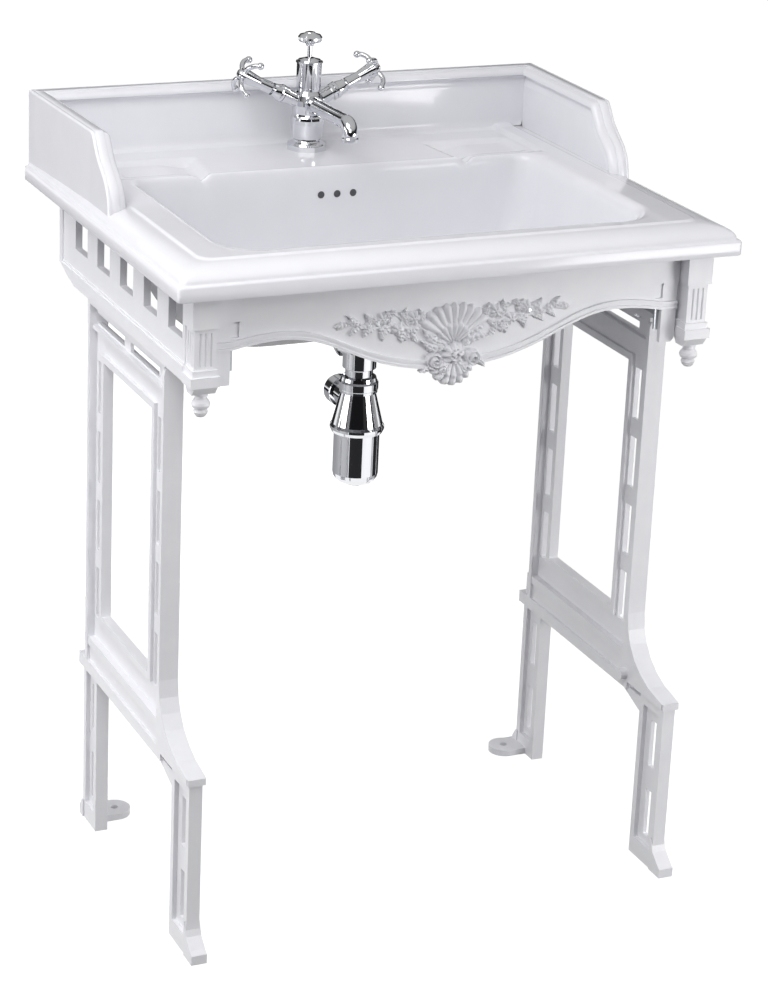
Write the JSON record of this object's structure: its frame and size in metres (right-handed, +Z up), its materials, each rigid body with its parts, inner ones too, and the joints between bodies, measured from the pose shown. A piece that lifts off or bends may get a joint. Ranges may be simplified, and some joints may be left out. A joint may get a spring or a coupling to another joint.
{
  "type": "console washbasin on cast leg frames",
  "caption": "Rectangular console washbasin with splashback on slotted cast leg frames, arched ornamented apron, mixer tap with pop-up knob, bottle trap.",
  "frame": {"origin": "on the floor under the middle of the whole piece: half way across the basin, and half way from its back face to the tips of the front feet", "axes": "+Z up, the front faces -Y, the back face that stands against the wall faces +Y, +X to the right when seen from the front"},
  "size_m": [0.65, 0.516, 0.9165],
  "materials": {
    "china": "high gloss white glaze",
    "white_iron": "white gloss paint on cast iron",
    "zinc_steel": "zinc plated steel",
    "rubber": "black rubber",
    "button": "polished",
    "chrome": "polished chrome plate on brass"
  },
  "bodies": {
    "stand": {"apron": "white_iron", "basin": "china", "basin_pads": "rubber", "bonnet_left": "chrome", "bonnet_right": "chrome", "bracket_left": "zinc_steel", "bracket_right": "zinc_steel", "bracket_screws": "zinc_steel", "column_crown": "chrome", "cup_seal": "rubber", "finial_left": "white_iron", "finial_right": "white_iron", "frame_bolts": "zinc_steel", "frame_left": "white_iron", "frame_right": "white_iron", "ornament_screws": "zinc_steel", "outlet_nut": "chrome", "outlet_seal": "rubber", "pivot_nut": "chrome", "post_left": "white_iron", "post_right": "white_iron", "rail_left": "white_iron", "rail_right": "white_iron", "shank_nut": "chrome", "shank_seal": "rubber", "shell_ornament": "white_iron", "spout_nozzle": "chrome", "spray_left": "white_iron", "spray_right": "white_iron", "tap_body": "chrome", "tap_column": "chrome", "tap_foot": "chrome", "tap_shank": "chrome", "tap_spout": "chrome", "trap_cup": "chrome", "trap_head": "chrome", "trap_nut": "chrome", "trap_seal": "rubber", "waste_body": "chrome", "waste_flange": "chrome", "waste_nut": "chrome", "waste_seal": "rubber"},
    "knob": {"knob": "chrome", "knob_stem": "chrome", "stem_clevis": "chrome"},
    "lever": {"pop_up_lever": "chrome"},
    "plug": {"waste_plug": "chrome"},
    "handle_left": {"handle_left": "chrome", "spindle_left": "chrome", "button_left": "button"},
    "handle_right": {"handle_right": "chrome", "spindle_right": "chrome", "button_right": "button"}
  },
  "joints": [
    {"name": "knob_slide", "type": "slide", "parent": "stand", "child": "knob", "axis": [0, 0, 1], "range_m": [-0.014, 0]},
    {"name": "lever_tilt", "type": "hinge", "parent": "stand", "child": "lever", "pos_m": [0, 0.063, 0.574], "axis": [1, 0, 0], "range_deg": [-6, 0.2]},
    {"name": "plug_lift", "type": "slide", "parent": "stand", "child": "plug", "axis": [0, 0, 1], "range_m": [0, 0.0039]},
    {"name": "handle_left_turn", "type": "hinge", "parent": "stand", "child": "handle_left", "pos_m": [-0.06786, 0.2005, 0.8621], "axis": [-0.8988, 0, 0.4384], "range_deg": [0, 90]},
    {"name": "handle_right_turn", "type": "hinge", "parent": "stand", "child": "handle_right", "pos_m": [0.06786, 0.2005, 0.8621], "axis": [0.8988, 0, 0.4384], "range_deg": [0, 90]}
  ],
  "couplings": [
    {"joint": "lever_tilt", "follows": "knob_slide", "rad_per_m": 7.2727},
    {"joint": "plug_lift", "follows": "knob_slide", "ratio": -0.27636}
  ]
}
